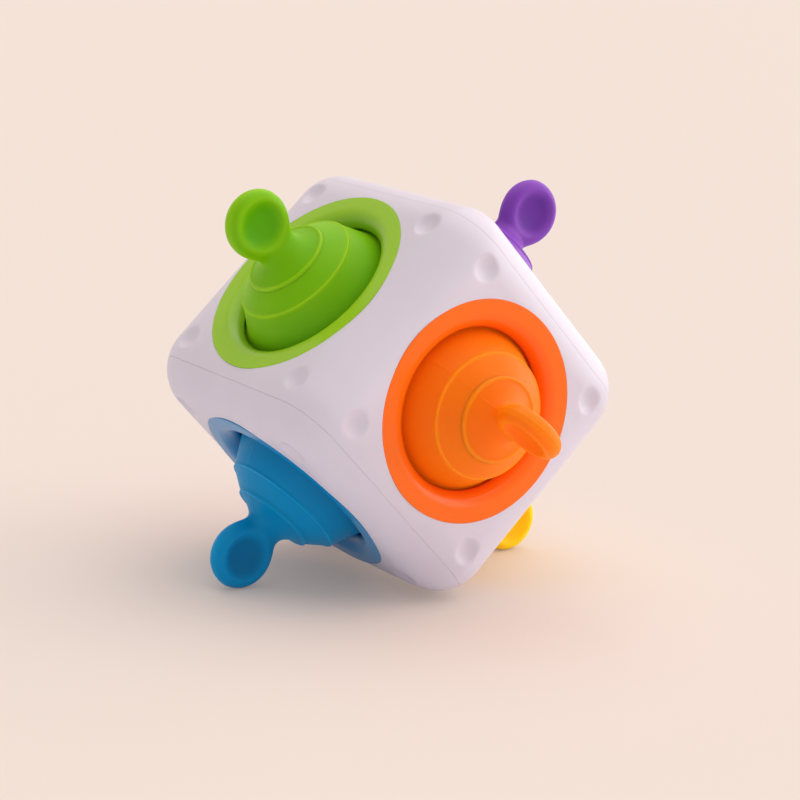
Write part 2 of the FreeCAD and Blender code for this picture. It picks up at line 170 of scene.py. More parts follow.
def cap_surface(p, q, depth):
    """A cap's skin: flat as far as CORE, then turned down by the distance beyond CORE over the radius, in the
    direction in which the point lies beyond it, so that the corners are parts of a sphere."""
    beyond = np.stack([np.sign(v) * np.clip(np.abs(v) - CORE, 0, None) for v in (p, q)], axis=-1)
    length = np.linalg.norm(beyond, axis=-1)
    angle = length / EDGE_ROUND
    slant = beyond * (np.sin(angle) / np.maximum(length, 1e-12))[..., None]
    normal = np.concatenate([slant, np.cos(angle)[..., None]], axis=-1)
    middle = np.stack([np.clip(p, -CORE, CORE), np.clip(q, -CORE, CORE), CORE + 0 * p], axis=-1)
    return middle + normal * (EDGE_ROUND - depth + 0 * p)[..., None]


def dimpled(points):
    """Finger dimples: the height is the smaller of the skin's h and a ball's b, taken smoothly as
    (h + b - sqrt((h - b)^2 + s^2)) / 2, which rounds the dimple's rim over the softness s."""
    ball = (DIMPLE_RADIUS ** 2 + DIMPLE_DEPTH ** 2) / (2 * DIMPLE_DEPTH)
    off = np.hypot(np.abs(points[..., 0]) - DIMPLE_PLACE, np.abs(points[..., 1]) - DIMPLE_PLACE)
    bottom = HALF_SIDE - DIMPLE_DEPTH + ball - np.sqrt(np.clip(ball ** 2 - off ** 2, 0, None))
    height = points[..., 2]
    lowered = (height + bottom - np.sqrt((height - bottom) ** 2 + DIMPLE_SOFTNESS ** 2)) / 2
    fade = smooth_step(*DIMPLE_FADE, off / DIMPLE_RADIUS)
    return np.concatenate([points[..., :2], (lowered * (1 - fade) + height * fade)[..., None]], axis=-1)


def crowded_angles(corners):
    """Angles once round a face, crowded about the dimples on its diagonals: off a diagonal they go as
    (1 - c) s + c s^power for even steps s. The nearest one is moved onto each corner of the face's share."""
    step = np.linspace(-1, 1, QUARTER_COLUMNS, endpoint=False)
    off = np.sign(step) * ((1 - CROWDING) * np.abs(step) + CROWDING * np.abs(step) ** CROWDING_POWER)
    angles = np.concatenate([(2 * quarter + 1 + off) * np.pi / 4 for quarter in range(4)])
    angles[[np.argmin(np.abs(angles - corner)) for corner in corners]] = corners
    return angles


def body_loop(half_p, half_q):
    """Where rays at the crowded angles leave a rectangle of the unrolled face, and which of them end at a
    cap's seam."""
    corner = math.atan2(half_q, half_p)
    angles = crowded_angles(np.array([corner, np.pi - corner, np.pi + corner, 2 * np.pi - corner]))
    along_p = half_p / np.maximum(np.abs(np.cos(angles)), 1e-9)
    along_q = half_q / np.maximum(np.abs(np.sin(angles)), 1e-9)
    loop = np.minimum(along_p, along_q)[:, None] * np.stack([np.cos(angles), np.sin(angles)], axis=-1)
    return loop, along_p <= along_q * (1 + 1e-9)


def cap_loop(turned):
    """The rounded square of the unrolled cap face along which its skin has turned down by one angle, found on
    each ray by halving."""
    angles = crowded_angles(np.array([1, 3, 5, 7]) * np.pi / 4)
    rays = np.stack([np.cos(angles), np.sin(angles)], axis=-1)
    low, high = np.full(angles.shape, CORE), np.full(angles.shape, 2 * HALF_SIDE)
    for _ in range(HALVINGS):
        reach = (low + high) / 2
        beyond = np.linalg.norm(np.clip(np.abs(reach[:, None] * rays) - CORE, 0, None), axis=1)
        inside = beyond < EDGE_ROUND * turned
        low, high = np.where(inside, reach, low), np.where(inside, high, reach)
    return low[:, None] * rays


def face_grid(surface, outer):
    """A face's share of the shell as one grid. Its rows run inwards along the inside of the wall, up the
    bezel's seat, over the seat's rounded edge, and out across the face in straight lines of the unrolled
    skin; they are closest together where the dimples are."""
    angle = np.arctan2(outer[:, 1], outer[:, 0])
    seat_x, seat_y = SEAT_RADIUS * np.cos(angle), SEAT_RADIUS * np.sin(angle)
    inner = np.stack([unrolled(seat_x), unrolled(seat_y)], axis=-1)
    outward = (outer - inner) / np.linalg.norm(outer - inner, axis=1)[:, None]
    inside = inner + (outer - inner) * np.linspace(1, INSIDE_END, INSIDE_ROWS)[:, None, None]
    inside = surface(inside[..., 0], inside[..., 1], WALL)
    bend = np.radians(np.linspace(90, 0, ROUND_ROWS))[:, None]
    rounded = inner + (outward * SEAT_ROUND) * (1 - np.sin(bend))[..., None]
    rounded = surface(rounded[..., 0], rounded[..., 1], SEAT_ROUND * (1 - np.cos(bend)))
    foot = rounded[:1].copy()
    foot[..., 2] = HALF_SIDE - WALL
    share = np.concatenate([np.linspace(*stretch)[1:] for stretch in FACE_STRETCHES])
    start = inner + outward * SEAT_ROUND
    spread = start + (outer - start) * share[:, None, None]
    face = dimpled(surface(spread[..., 0], spread[..., 1], 0.0))
    return np.concatenate([inside, foot, rounded, face])


def seam_grid(surface, loop_at):
    """The wall along a seam: over its small rounded edge, then straight in through the wall's thickness.
    loop_at gives the unrolled loop when it is pulled back from the seam by some distance."""
    rows = []
    for bend in np.radians(np.linspace(0, 90, ROUND_ROWS)):
        back, depth = SEAM_ROUND * (1 - math.sin(bend)), SEAM_ROUND * (1 - math.cos(bend))
        rows.append(surface(*loop_at(back).T, depth))
    rows.append(surface(*loop_at(0.0).T, WALL))
    return np.stack(rows)


def new_finish(name):
    """A new material, with its node tree and its shader."""
    finish = bpy.data.materials.new(name)
    finish.use_nodes = True
    return finish, finish.node_tree, finish.node_tree.nodes["Principled BSDF"]


def cloudy(tree, scale, detail):
    """A cloudy pattern over the piece's own coordinates."""
    place = tree.nodes.new("ShaderNodeTexCoord")
    noise = tree.nodes.new("ShaderNodeTexNoise")
    noise.inputs["Scale"].default_value = scale
    noise.inputs["Detail"].default_value = detail
    tree.links.new(place.outputs["Object"], noise.inputs["Vector"])
    return noise.outputs["Fac"]


def tint(tree, shader, pattern, stops):
    """Base colour through some stops, each (place, colour), as a pattern goes from 0 to 1."""
    ramp = tree.nodes.new("ShaderNodeValToRGB")
    elements = ramp.color_ramp.elements
    for place, _ in stops[1:-1]:
        elements.new(place)
    for element, (place, colour) in zip(elements, stops):
        element.position = place
        element.color = linear(*colour)
    tree.links.new(pattern, ramp.inputs["Fac"])
    tree.links.new(ramp.outputs["Color"], shader.inputs["Base Color"])


def vary_gloss(tree, shader, pattern, low, high):
    """Roughness between low and high, as a pattern goes from 0 to 1."""
    gloss = tree.nodes.new("ShaderNodeMapRange")
    gloss.inputs["To Min"].default_value = low
    gloss.inputs["To Max"].default_value = high
    tree.links.new(pattern, gloss.inputs["Value"])
    tree.links.new(gloss.outputs["Result"], shader.inputs["Roughness"])


def raise_grain(tree, shader, pattern, strength, height):
    """A fine texture of some height, raised by a pattern."""
    relief = tree.nodes.new("ShaderNodeBump")
    relief.inputs["Strength"].default_value = strength
    relief.inputs["Distance"].default_value = height
    tree.links.new(pattern, relief.inputs["Height"])
    tree.links.new(relief.outputs["Normal"], shader.inputs["Normal"])


def shell_finish():
    """Satin white ABS: a faint mottle in colour and gloss, and a moulded grain finer than a third of a
    millimetre."""
    finish, tree, shader = new_finish("shell white")
    mottle = cloudy(tree, scale=40, detail=5)
    tint(tree, shader, mottle, [(0.35, SHELL_SHADE), (0.65, SHELL_WHITE)])
    vary_gloss(tree, shader, mottle, low=0.42, high=0.48)
    raise_grain(tree, shader, cloudy(tree, scale=3200, detail=2), strength=0.25, height=0.02 * MM)
    shader.inputs["Subsurface Weight"].default_value = 0.06
    shader.inputs["Subsurface Radius"].default_value = (1.0, 0.8, 0.9)
    shader.inputs["Subsurface Scale"].default_value = 1.5 * MM
    return finish


# A cap's skin has turned down by seam_turn at its seam, which lies seam_p from the middle of a face of the
# unrolled body. That face ends at edge_q, half way round the edge that it shares with its neighbour.
seam_turn = math.acos(1 - CAP_DEPTH / EDGE_ROUND)
seam_p = CORE + EDGE_ROUND * (math.pi / 2 - seam_turn) - SEAM_GAP / 2
edge_q = CORE + EDGE_ROUND * math.pi / 4
body_outer, at_seam = body_loop(seam_p - SEAM_ROUND, edge_q)
body_grid = face_grid(body_surface, body_outer)


def body_seam(side):
    """The wall along one of the body's seams over one face, its points in order along the seam."""
    columns = np.flatnonzero(at_seam & (np.sign(body_outer[:, 0]) == side))
    q = np.sort(body_outer[columns, 1])
    return seam_grid(body_surface, lambda back: np.stack([0 * q + side * (seam_p - back), q], axis=-1))


body_grids = []
for colour in ("green", "orange", "yellow", "red"):
    turn = face_turn(NORMALS[colour], NORMALS[colour].cross(NORMALS["purple"]))
    body_grids.append((placed(body_grid, turn), True))
    body_grids += [(placed(body_seam(side), turn), False) for side in (-1, 1)]
shell_skins = [make_piece("shell_body_skin", body_grids)]

cap_turned = seam_turn - SEAM_GAP / 2 / EDGE_ROUND
cap_grids = [
    face_grid(cap_surface, cap_loop(cap_turned - SEAM_ROUND / EDGE_ROUND)),
    seam_grid(cap_surface, lambda back: cap_loop(cap_turned - back / EDGE_ROUND)),
]
for colour in ("purple", "blue"):
    turn = face_turn(NORMALS[colour], ALONG_Y)
    shell_skins.append(make_piece(colour + "_cap_skin", [(placed(grid, turn), True) for grid in cap_grids]))

shell_white = shell_finish()
for piece, node in zip(shell_skins, ("shell_body", "purple_side_cap", "blue_side_cap")):
    piece.data.materials.append(shell_white)
    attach(piece, "cube")
    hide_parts(node)


# ------------------------------------------------------------------------------------------------------------
# The bezels: glossy coloured ABS rings, one in each face, let in flush from outside. Each has a flat rim, a
# rounded lip that turns down into a throat, and a sleeve behind it, against which the silicone is clamped.
# From here on profiles are (r, z) in millimetres, from the face's axis and from the cube's centre.
FACE = 50.0
RIM_RADIUS = 36.7
RIM_ROUND = 0.15
RIM_BACK = 48.0
FLAT_RINGS = (33.4, 34.6, 35.6)
FLAT_RADIUS = 32.4
THROAT_RADIUS = 26.9
THROAT_LEVEL = 45.4
THROAT_LAND = 0.1
SLEEVE_BORE = 28.5
SLEEVE_OUTSIDE = 30.5
SLEEVE_FOOT = 41.5
LIP_DROP = FACE - THROAT_LEVEL
LIP_ROUND = ((FLAT_RADIUS - THROAT_RADIUS) ** 2 + LIP_DROP ** 2) / 2 / LIP_DROP
LIP_ROWS = 24
BEZEL_COLUMNS = 192
BEZEL_SHADE = 0.97
BEZEL_COLOURS = {
    "green": (150, 193, 36),
    "purple": (132, 66, 174),
    "yellow": (255, 202, 0),
    "blue": (0, 128, 182),
    "orange": (255, 108, 12),
    "red": (214, 40, 32),
}


def arc(centre, radius, first, last, count):
    """Points (r, z) of a profile on a circle: centre + radius times (cos, sin) of angles in degrees."""
    angle = np.radians(np.linspace(first, last, count))
    return np.stack([centre[0] + radius * np.cos(angle), centre[1] + radius * np.sin(angle)], axis=-1)


def lathe(profile, angle):
    """A profile (r, z) in millimetres, carried round the Z axis through angles a: (r cos a, r sin a, z)."""
    r, z = profile[:, :1] * MM, profile[:, 1:] * MM
    return np.stack([r * np.cos(angle), r * np.sin(angle), z + 0 * angle], axis=-1)


def tab_turn(colour):
    """The turn of a face's own frame, with Y along the axis of its tab's disc."""
    return face_turn(NORMALS[colour], ALONG_Y if abs(NORMALS[colour].y) < 0.5 else NORMALS["purple"])


lip_end = math.degrees(math.asin(1 - LIP_DROP / LIP_ROUND))
bezel_profile = np.concatenate([
    [(SLEEVE_BORE, SLEEVE_FOOT), (SLEEVE_BORE, THROAT_LEVEL), (THROAT_RADIUS + THROAT_LAND, THROAT_LEVEL)],
    arc((FLAT_RADIUS, FACE - LIP_ROUND), LIP_ROUND, 180 - lip_end, 90, LIP_ROWS),
    [(r, FACE) for r in FLAT_RINGS],
    arc((RIM_RADIUS - RIM_ROUND, FACE - RIM_ROUND), RIM_ROUND, 90, 0, ROUND_ROWS),
    [(RIM_RADIUS, RIM_BACK), (SLEEVE_OUTSIDE, RIM_BACK)],
    [(SLEEVE_OUTSIDE, SLEEVE_FOOT), (SLEEVE_BORE, SLEEVE_FOOT)],
])


def bezel_finish(colour):
    """Glossy coloured ABS: nearly even colour, and a very slight orange-peel waviness."""
    finish, tree, shader = new_finish(colour + " bezel")
    cloud = cloudy(tree, scale=90, detail=3)
    base = BEZEL_COLOURS[colour]
    tint(tree, shader, cloud, [(0, [v * BEZEL_SHADE for v in base]), (1, base)])
    vary_gloss(tree, shader, cloud, low=0.22, high=0.28)
    raise_grain(tree, shader, cloudy(tree, scale=700, detail=2), strength=0.12, height=0.03 * MM)
    shader.inputs["Specular IOR Level"].default_value = 0.25
    return finish


bezel_grid = lathe(bezel_profile, np.linspace(0, 2 * np.pi, BEZEL_COLUMNS, endpoint=False))
for colour in BEZEL_COLOURS:
    bezel = make_piece(colour + "_bezel_ring", [(placed(bezel_grid, tab_turn(colour)), True)])
    bezel.data.materials.append(bezel_finish(colour))
    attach(bezel, "cube")
    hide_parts(colour + "_bezel")


# ------------------------------------------------------------------------------------------------------------
# The skirts: thin silicone cones, moulded in one with their tuggers. Each bulges up out of its clamped flange
# and has one fine raised bead, and a hair-fine parting line of the mould runs up it on two sides.
FACE_BEAD = (20.4, 55.7)
SKIRT_TOP = (14.35, 60.5)
SKIRT_KNOTS = [(28.1, 43.9), (27.0, 44.2), (26.0, 45.2), (25.2, 46.7), (23.75, 49.5), (22.15, 52.7),
               FACE_BEAD, (17.4, 58.2), SKIRT_TOP]
SKIRT_ROWS = 120
SKIRT_COLUMNS = 192
BACK_STEP = 3
BACK_LEFT_OUT = 18
SKIN = 1.8
TOP_SKIN = 2.0
FLANGE_RADIUS = 34.6
FLANGE_FOOT = 39.7
FLANGE_TURN = 30.0
ROOT_RADIUS = 28.4
BACK_FOOT = (23.4, FLANGE_FOOT)
BEAD_HEIGHT = 0.5
BEAD_WIDTH = 0.44
PARTING_HEIGHT = 0.1
PARTING_WIDTH = 0.22
PARTING_CROWDING = 0.45

# Tones run from 0, a copy of the colour darkened as painted shade, through 0.5, the plain colour, to 1, a
# copy lightened as painted highlight and glow. A skirt has painted shade at its root, down in the bezel's
# throat, which lifts a little as it rises to its top, and a painted highlight along its bead, lighter still.
SKIRT_SHADED_TONE = 0.36
SHADE_LIFT = 0.14
RISE_FROM = 45
RISE_TO = 55
SKIRT_BEAD_HIGHLIGHT = 0.3
BEAD_HIGHLIGHT_SPREAD = 1.3
TONE_WAVER = 0.06
EVEN_SCATTER = 0.3
SILICONE_TONES = {
    "green": ((58, 150, 0), (115, 176, 0), (182, 212, 32)),
    "purple": ((78, 26, 128), (132, 70, 172), (144, 84, 184)),
    "yellow": ((248, 186, 0), (255, 202, 6), (255, 220, 64)),
    "blue": ((0, 86, 132), (0, 133, 184), (6, 156, 202)),
    "orange": ((252, 102, 2), (255, 114, 3), (255, 168, 26)),
    "red": ((184, 24, 20), (210, 38, 30), (232, 72, 54)),
}


def smooth_curve(knots, count):
    """A smooth curve through knots (r, z): each coordinate is a cubic over the knots' chord length, with
    slopes taken from the neighbouring knots (Catmull-Rom)."""
    knots = np.array(knots, dtype=float)
    at = np.concatenate([[0], np.cumsum(np.linalg.norm(np.diff(knots, axis=0), axis=1))])
    slope = np.gradient(knots, at, axis=0)
    where = np.linspace(0, at[-1], count)
    piece = np.clip(np.searchsorted(at, where) - 1, 0, len(at) - 2)
    width = (at[piece + 1] - at[piece])[:, None]
    t = (where - at[piece])[:, None] / width
    return ((2 * t ** 3 - 3 * t ** 2 + 1) * knots[piece] + (t ** 3 - 2 * t ** 2 + t) * width * slope[piece]
            + (3 * t ** 2 - 2 * t ** 3) * knots[piece + 1] + (t ** 3 - t ** 2) * width * slope[piece + 1])


def outward_normals(profile):
    """Unit normals of a profile (r, z) that runs upwards, pointing away from the axis."""
    along = np.gradient(profile, axis=0)
    along /= np.linalg.norm(along, axis=1)[:, None]
    return np.stack([along[:, 1], -along[:, 0]], axis=-1)


def beaded(profile, bead):
    """A profile raised by height * exp(-(d / width)^2), where d is the distance from the bead's place."""
    near = np.linalg.norm(profile - np.array(bead), axis=1)
    return profile + outward_normals(profile) * (BEAD_HEIGHT * np.exp(-(near / BEAD_WIDTH) ** 2))[:, None]


def parting_turn(columns):
    """Angles once round, u - c sin 2u for even u, which crowds them ten times closer at each parting line."""
    even = np.linspace(0, 2 * np.pi, columns, endpoint=False)
    return even - PARTING_CROWDING * np.sin(2 * even)


def away_from_axis(angle):
    """Unit directions away from the Z axis at some angles a: (cos a, sin a, 0)."""
    return np.stack([np.cos(angle), np.sin(angle), 0 * angle], axis=-1)


def parted(points, outward):
    """Points raised along outward by height * exp(-(y / width)^2), y being the distance from the parting
    plane."""
    near = np.exp(-(points[..., 1] / (PARTING_WIDTH * MM)) ** 2)
    return points + outward * (PARTING_HEIGHT * MM * near)[..., None]


def face_points(piece, turn):
    """A piece's vertices in its face's own frame, in millimetres."""
    points = np.empty(3 * len(piece.data.vertices), dtype=np.float32)
    piece.data.vertices.foreach_get("co", points)
    back = np.array(turn.inverted())
    return (points.reshape(-1, 3) @ back[:3, :3].T + back[:3, 3]) / MM


def near_bead(points, bead):
    """exp(-(d / w)^2), where d is the distance from a bead's ring and w is a little over the bead's width."""
    off = np.hypot(np.hypot(points[:, 0], points[:, 1]) - bead[0], points[:, 2] - bead[1])
    return np.exp(-(off / (BEAD_HIGHLIGHT_SPREAD * BEAD_WIDTH)) ** 2)


def skirt_shade_and_highlight(points):
    """The tone at points of a skirt: painted shade that lifts evenly with height, and a painted highlight
    along the bead.
    """
    rise = np.clip((points[:, 2] - RISE_FROM) / (RISE_TO - RISE_FROM), 0, 1)
    return SKIRT_SHADED_TONE + SHADE_LIFT * rise + SKIRT_BEAD_HIGHLIGHT * near_bead(points, FACE_BEAD)


def note_tone(piece, tone):
    """Keeps a tone for every vertex, held between 0 and 1."""
    kept = piece.data.attributes.new("tone", "FLOAT", "POINT")
    kept.data.foreach_set("value", np.clip(tone, 0, 1).astype(np.float32))


def silicone_finish(colour):
    """Satin silicone that light enters a little way. Its colour follows each vertex's kept tone, between
    copies darkened as painted shade and lightened as painted highlight. It has a fine blasted texture, and
    its tone and gloss vary a little."""
    finish, tree, shader = new_finish(colour + " silicone")
    deep, middle, light = SILICONE_TONES[colour]
    cloud = cloudy(tree, scale=110, detail=5)
    waver = tree.nodes.new("ShaderNodeMapRange")
    waver.inputs["To Min"].default_value = -TONE_WAVER
    waver.inputs["To Max"].default_value = TONE_WAVER
    kept = tree.nodes.new("ShaderNodeAttribute")
    kept.attribute_name = "tone"
    tone = tree.nodes.new("ShaderNodeMath")
    tree.links.new(cloud, waver.inputs["Value"])
    tree.links.new(kept.outputs["Fac"], tone.inputs[0])
    tree.links.new(waver.outputs["Result"], tone.inputs[1])
    tint(tree, shader, tone.outputs["Value"], [(0, deep), (0.5, middle), (1, light)])
    vary_gloss(tree, shader, cloud, low=0.38, high=0.48)
    raise_grain(tree, shader, cloudy(tree, scale=2600, detail=3), strength=0.3, height=0.02 * MM)
    shader.inputs["Subsurface Weight"].default_value = 0.4
    shader.inputs["Subsurface Radius"].default_value = tuple(EVEN_SCATTER + v for v in linear(*middle)[:3])
    shader.inputs["Subsurface Scale"].default_value = 3 * MM
    shader.inputs["IOR"].default_value = 1.41
    shader.inputs["Specular IOR Level"].default_value = 0.16
    shader.inputs["Sheen Weight"].default_value = 0.35
    shader.inputs["Sheen Roughness"].default_value = 0.45
    shader.inputs["Sheen Tint"].default_value = linear(*light)
    return finish


skirt_side = smooth_curve(SKIRT_KNOTS, SKIRT_ROWS)
skirt_back = skirt_side - outward_normals(skirt_side) * SKIN
skirt_back[-1] = (SKIRT_TOP[0] - TOP_SKIN, SKIRT_TOP[1])
skirt_outer = beaded(skirt_side, FACE_BEAD)
skirt_flange = np.array([
    (FLANGE_RADIUS, FLANGE_FOOT), (FLANGE_RADIUS, SLEEVE_FOOT), (FLANGE_TURN, SLEEVE_FOOT),
    (ROOT_RADIUS, SLEEVE_FOOT), skirt_outer[0],
])
# The inside follows the back from the top down, and drops straight to the flange's foot before the root.
skirt_inside = np.concatenate([
    skirt_back[::-1][:-BACK_LEFT_OUT:BACK_STEP], [BACK_FOOT, (FLANGE_RADIUS, FLANGE_FOOT)],
])

skirt_angles = parting_turn(SKIRT_COLUMNS)
skirt_grid = np.concatenate([
    lathe(skirt_flange, skirt_angles),
    parted(lathe(skirt_outer[1:], skirt_angles), away_from_axis(skirt_angles)),
    lathe(skirt_inside, skirt_angles),
])
silicones = {colour: silicone_finish(colour) for colour in SILICONE_TONES}
for colour, silicone in silicones.items():
    turn = tab_turn(colour)
    skirt = make_piece(colour + "_skirt_cone", [(placed(skirt_grid, turn), True)])
    note_tone(skirt, skirt_shade_and_highlight(face_points(skirt, turn)))
    skirt.data.materials.append(silicone)
    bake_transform(skirt)
    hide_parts(colour + "_skirt")


# ------------------------------------------------------------------------------------------------------------
# The tuggers: the silicone tops, each a beaded crown that flows through a short flat neck into a round tab
# with a shallow dish on both sides for finger and thumb.
CROWN_BEAD = (13.5, 61.15)
CROWN_KNOTS = [SKIRT_TOP, (13.9, 60.85), (13.2, 61.35), (12.6, 61.55)]
CROWN_ROWS = 15
CROWN_TOP = CROWN_KNOTS[-1][1]
UNDERSIDE = [(0, 60.9), (8, 60.9), (SKIRT_TOP[0] - TOP_SKIN, SKIRT_TOP[1])]
TAB_CENTRE = 77.3
TAB_RADIUS = 11.2
TAB_HALF = 3.7
DISH_RADIUS = 8.2
DISH_DEPTH = 2.0
DISH_SOFTNESS = 0.5
BOWL_POWER = 2.7
WAIST = 66.3
WAIST_HALF_WIDTH = 6.7
WAIST_HALF_THICK = 3.75
NECK_BLEND = 1.9
DRAWN_IN_FROM = 68.5
DRAWN_IN = 0.25
NECK_BLEND_LEVELS = (76, 70)
NECK_TO_TAB = (65.5, 70.0)
DISH_FADE = (1.05, 1.4)
WIDEST = 20.0

# Rows are spaced up the neck by a power of even steps, and above that evenly round the disc.
NECK_ROWS_TO = 68.2
NECK_ROWS = 40
NECK_SPACING = 1.15
TAB_ROWS = 64
TUGGER_COLUMNS = 160

# Tones, on the skirts' scale, and where they lie: painted highlights on the crown's bead and round each dish,
# a painted glow at the tab's edge and painted shade in the dishes. Distances from a dish's middle are in dish
# radii.
TUGGER_TONE = 0.47
CROWN_BEAD_HIGHLIGHT = 0.34
# A painted glow of light shining through the tab's outermost edge.
PAINTED_EDGE_GLOW = 0.12
EDGE_REACH = 0.7
EDGE_LEVELS = (66, 71)
DISH_RING_HIGHLIGHT = 0.1
RING_PLACE = 1.04
RING_WIDTH = 0.17
DISH_SHADE = -0.24
DISH_SPREAD = (0.6, 1.0)


def flare(z, start, drop, growth, power):
    """How much the neck has grown on its way down: growth * ((start - z) / drop)^power, and 0 above start."""
    return growth * (np.clip(start - z, 0, None) / drop) ** power


def neck_half_width(z):
    """The neck's own half-width: it flares down into the crown, and draws in with the square of the height so
    that it ends inside the tab."""
    drawn_in = DRAWN_IN * np.clip(z - DRAWN_IN_FROM, 0, None) ** 2
    return WAIST_HALF_WIDTH + flare(z, start=WAIST, drop=4.9, growth=6.2, power=2.4) - drawn_in


def neck_half_thickness(z):
    """The neck's half-thickness: it flares down into the crown sooner and more gently than the width does."""
    return WAIST_HALF_THICK + flare(z, start=69.0, drop=7.6, growth=9.2, power=1.8)


def edge_distance(x, z):
    """How far a point of the tab's plane lies inside the outline, a round disc joined to the neck: the larger
    of the two inside distances a and b, taken smoothly as (a + b + sqrt((a - b)^2 + k^2)) / 2, where k fades
    out up the disc."""
    disc = TAB_RADIUS - np.hypot(x, z - TAB_CENTRE)
    neck = neck_half_width(z) - np.abs(x)
    blend = NECK_BLEND ** 2 * smooth_step(*NECK_BLEND_LEVELS, z)
    return (disc + neck + np.sqrt((disc - neck) ** 2 + blend)) / 2


def half_width(z):
    """Where the outline is at each height, found by halving."""
    low, high = np.zeros(z.shape), np.full(z.shape, WIDEST)
    for _ in range(HALVINGS):
        middle = (low + high) / 2
        inside = edge_distance(middle, z) > 0
        low, high = np.where(inside, middle, low), np.where(inside, high, middle)
    return low


def tab_half(x, z):
    """The tab's half-thickness: a rim t that rounds off to the outline as a quarter circle, or the dish's
    web + depth (d / radius)^2.7 at a distance d from its middle, whichever is less, taken smoothly."""
    inside = np.clip(edge_distance(x, z) / TAB_HALF, 0, 1)
    rim = TAB_HALF * np.sqrt(1 - (1 - inside) ** 2)
    from_middle = np.hypot(x, z - TAB_CENTRE) / DISH_RADIUS
    bowl = TAB_HALF - DISH_DEPTH + DISH_DEPTH * from_middle ** BOWL_POWER
    dished = (rim + bowl - np.sqrt((rim - bowl) ** 2 + DISH_SOFTNESS ** 2)) / 2
    fade = smooth_step(*DISH_FADE, from_middle)
    return dished * (1 - fade) + rim * fade


def outline_outward(x, z):
    """The direction in the tab's plane in which the distance inside the outline falls off."""
    step = 0.001
    across = edge_distance(x - step, z) - edge_distance(x + step, z)
    up = edge_distance(x, z - step) - edge_distance(x, z + step)
    return np.stack([across, 0 * across, up], axis=-1) / np.maximum(np.hypot(across, up), 1e-9)[..., None]


def crown_grid(angle):
    """The closed underside and the crown, a profile carried round with its bead and parting line."""
    crown = lathe(beaded(smooth_curve(CROWN_KNOTS, CROWN_ROWS), CROWN_BEAD), angle)
    return np.concatenate([lathe(np.array(UNDERSIDE), angle), parted(crown, away_from_axis(angle))])


def tab_grid(angle):
    """Rows of closed outlines up the neck and the tab. Below the waist they are ellipses of the neck's
    half-width and half-thickness; above it each is x = w cos a, y = +-T, T being the tab's half-thickness."""
    low = CROWN_TOP + (NECK_ROWS_TO - CROWN_TOP) * np.linspace(0, 1, NECK_ROWS)[1:] ** NECK_SPACING
    disc_from = math.acos((TAB_CENTRE - NECK_ROWS_TO) / TAB_RADIUS)
    high = TAB_CENTRE - TAB_RADIUS * np.cos(np.linspace(disc_from, np.pi, TAB_ROWS))[1:]
    z = np.concatenate([low, high])[:, None]
    x = half_width(z) * np.cos(angle)
    flat = np.sign(np.sin(angle)) * tab_half(x, z)
    neck = neck_half_thickness(z) * np.sin(angle)
    share = smooth_step(*NECK_TO_TAB, z)
    points = np.stack([x, flat * share + neck * (1 - share), z + 0 * x], axis=-1) * MM
    return parted(points, outline_outward(x, z + 0 * x))


def tugger_painted_light(points):
    """The tone at points of a tugger: painted highlights on the crown's bead and on the ring round each dish,
    a little painted glow at the tab's outermost edge, and painted shade in the dishes."""
    x, _, z = points.T
    from_middle = np.hypot(x, z - TAB_CENTRE) / DISH_RADIUS
    edge = np.exp(-(np.clip(edge_distance(x, z), 0, None) / EDGE_REACH) ** 2) * smooth_step(*EDGE_LEVELS, z)
    ring = np.exp(-((from_middle - RING_PLACE) / RING_WIDTH) ** 2)
    dish = 1 - smooth_step(*DISH_SPREAD, from_middle)
    crown = near_bead(points, CROWN_BEAD)
    return TUGGER_TONE + CROWN_BEAD_HIGHLIGHT * crown + PAINTED_EDGE_GLOW * edge + DISH_RING_HIGHLIGHT * ring + DISH_SHADE * dish


tugger_angles = parting_turn(TUGGER_COLUMNS)
tugger_grid = np.concatenate([crown_grid(tugger_angles), tab_grid(tugger_angles)])
for colour, silicone in silicones.items():
    turn = tab_turn(colour)
    tugger = make_piece(colour + "_tugger_top", [(placed(tugger_grid, turn), True)])
    note_tone(tugger, tugger_painted_light(face_points(tugger, turn)))
    tugger.data.materials.append(silicone)
    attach(tugger, colour + "_tug")
    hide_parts(colour + "_tugger")


# ------------------------------------------------------------------------------------------------------------
# The clamp rings and their screws: grey moulded ABS rings inside the cube, which squeeze the silicone's
# flanges against the bezels. Four zinc-plated steel screws pull each ring up to its bezel's bosses.
RING_GREY = (176, 176, 180)
SCREW_STEEL = (196, 198, 202)
INSIDE_SHADE = 0.9


def inside_finish(name, colour, metallic, low, high):
    """A plain moulded or plated finish whose colour and gloss vary a little over it."""
    finish, tree, shader = new_finish(name)
    cloud = cloudy(tree, scale=400, detail=2)
    tint(tree, shader, cloud, [(0, [v * INSIDE_SHADE for v in colour]), (1, colour)])
    vary_gloss(tree, shader, cloud, low, high)
    shader.inputs["Metallic"].default_value = metallic
    return finish


ring_grey = inside_finish("clamp ring grey", RING_GREY, metallic=0, low=0.45, high=0.6)
screw_steel = inside_finish("screw steel", SCREW_STEEL, metallic=1, low=0.25, high=0.4)
for colour in SILICONE_TONES:
    for ending, finish in (("_clamp_ring", ring_grey), ("_screws", screw_steel)):
        materials = frame["nodes"][colour + ending].data.materials
        materials.clear()
        materials.append(finish)


# ------------------------------------------------------------------------------------------------------------
# The studio: a round pale floor and an even room light with three soft lamps. The floor and the room show the
# camera, and polished surfaces, a plain backdrop colour; the floor keeps the cube's shadow.
BACKDROP = (244, 226, 215)
PAPER = (221, 205, 195)
PLAIN_SHARE = 0.2
FLOOR_GREY = (0.94, 0.93, 0.94, 1)
FLOOR_RADIUS = 6
FLOOR_POINTS = 96
ROOM_LIGHT = (1.0, 0.99, 1.0, 1)
ROOM_STRENGTH = 0.58

